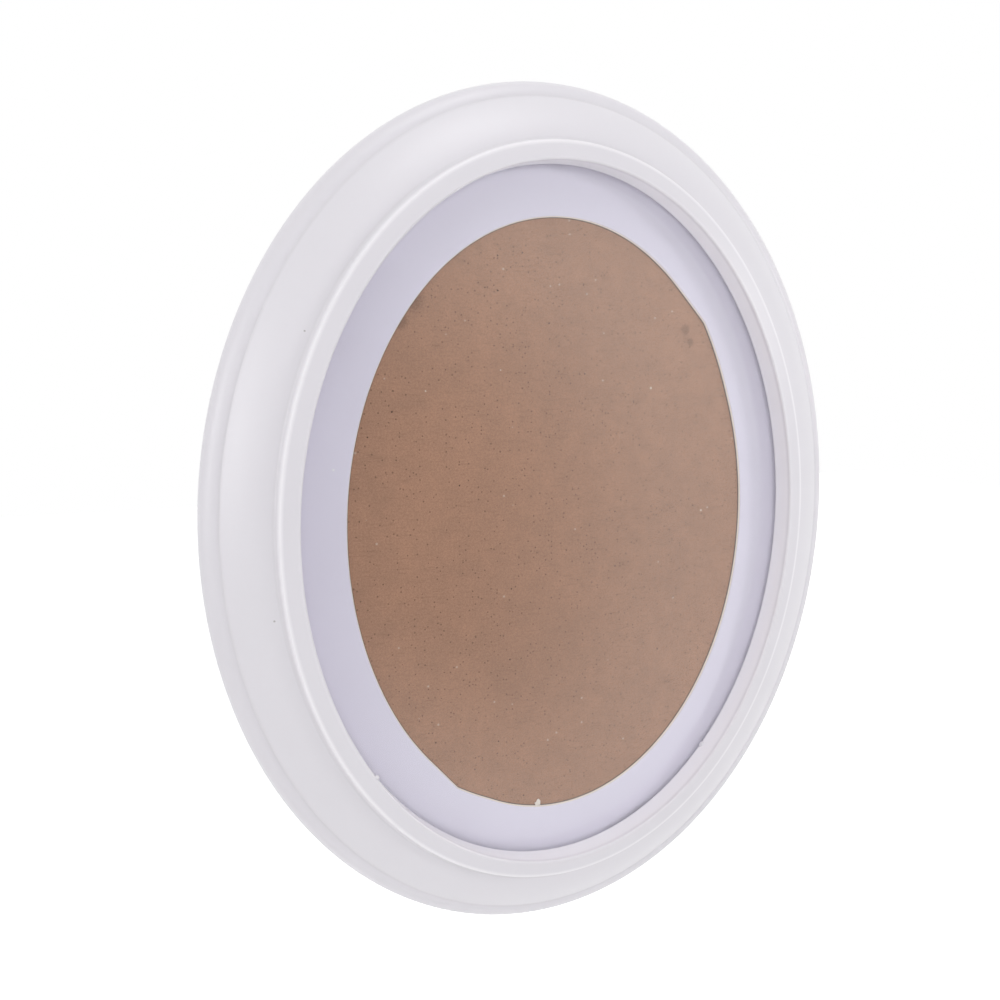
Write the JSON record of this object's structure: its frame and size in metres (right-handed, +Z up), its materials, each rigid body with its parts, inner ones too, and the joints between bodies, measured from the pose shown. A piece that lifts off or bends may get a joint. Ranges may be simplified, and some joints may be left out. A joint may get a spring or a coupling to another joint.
{
  "type": "oval picture frame",
  "caption": "Oval wall-hung picture frame with a moulded white ring, glass, oval mat and hardboard back held by turn buttons.",
  "frame": {"origin": "the middle notch of the sawtooth hanger, in the wall plane, where the wall nail bears", "axes": "+Z up, front towards -Y, wall side towards +Y, oval in the XZ plane"},
  "size_m": [0.3494, 0.0313, 0.4289],
  "materials": {
    "white_lacquer": "smooth white lacquer with a soft gloss on routed fibreboard",
    "clear_glass": "clear polished picture glass",
    "mat_card": "pale lavender-white paper card with a cream core",
    "hardboard": "brown pressed hardboard with dark flecks",
    "plated_strip": "zinc-plated stamped steel strip",
    "plated_screw": "zinc-plated screws and nails",
    "clear_rubber": "pale translucent rubber pad"
  },
  "bodies": {
    "frame": {"frame_moulding": "white_lacquer", "glass_pane": "clear_glass", "mat_board": "mat_card", "backing_board": "hardboard", "turn_button_screws": "plated_screw", "sawtooth_hanger": "plated_strip", "hanger_nails": "plated_screw", "bumper_left": "clear_rubber", "bumper_right": "clear_rubber"},
    "turn_button_1": {"turn_button_1": "plated_strip"},
    "turn_button_2": {"turn_button_2": "plated_strip"},
    "turn_button_3": {"turn_button_3": "plated_strip"},
    "turn_button_4": {"turn_button_4": "plated_strip"},
    "turn_button_5": {"turn_button_5": "plated_strip"},
    "turn_button_6": {"turn_button_6": "plated_strip"}
  },
  "joints": [
    {"name": "turn_button_1_pivot", "type": "hinge", "parent": "frame", "child": "turn_button_1", "pos_m": [0.1484, -0.01155, -0.20095], "axis": [0, 1, 0], "range_deg": [-90, 90]},
    {"name": "turn_button_2_pivot", "type": "hinge", "parent": "frame", "child": "turn_button_2", "pos_m": [0.0742, -0.01155, -0.03944], "axis": [0, 1, 0], "range_deg": [-90, 90]},
    {"name": "turn_button_3_pivot", "type": "hinge", "parent": "frame", "child": "turn_button_3", "pos_m": [-0.0742, -0.01155, -0.03944], "axis": [0, 1, 0], "range_deg": [-90, 90]},
    {"name": "turn_button_4_pivot", "type": "hinge", "parent": "frame", "child": "turn_button_4", "pos_m": [-0.1484, -0.01155, -0.20095], "axis": [0, 1, 0], "range_deg": [-90, 90]},
    {"name": "turn_button_5_pivot", "type": "hinge", "parent": "frame", "child": "turn_button_5", "pos_m": [-0.0742, -0.01155, -0.36246], "axis": [0, 1, 0], "range_deg": [-90, 90]},
    {"name": "turn_button_6_pivot", "type": "hinge", "parent": "frame", "child": "turn_button_6", "pos_m": [0.0742, -0.01155, -0.36246], "axis": [0, 1, 0], "range_deg": [-90, 90]}
  ]
}
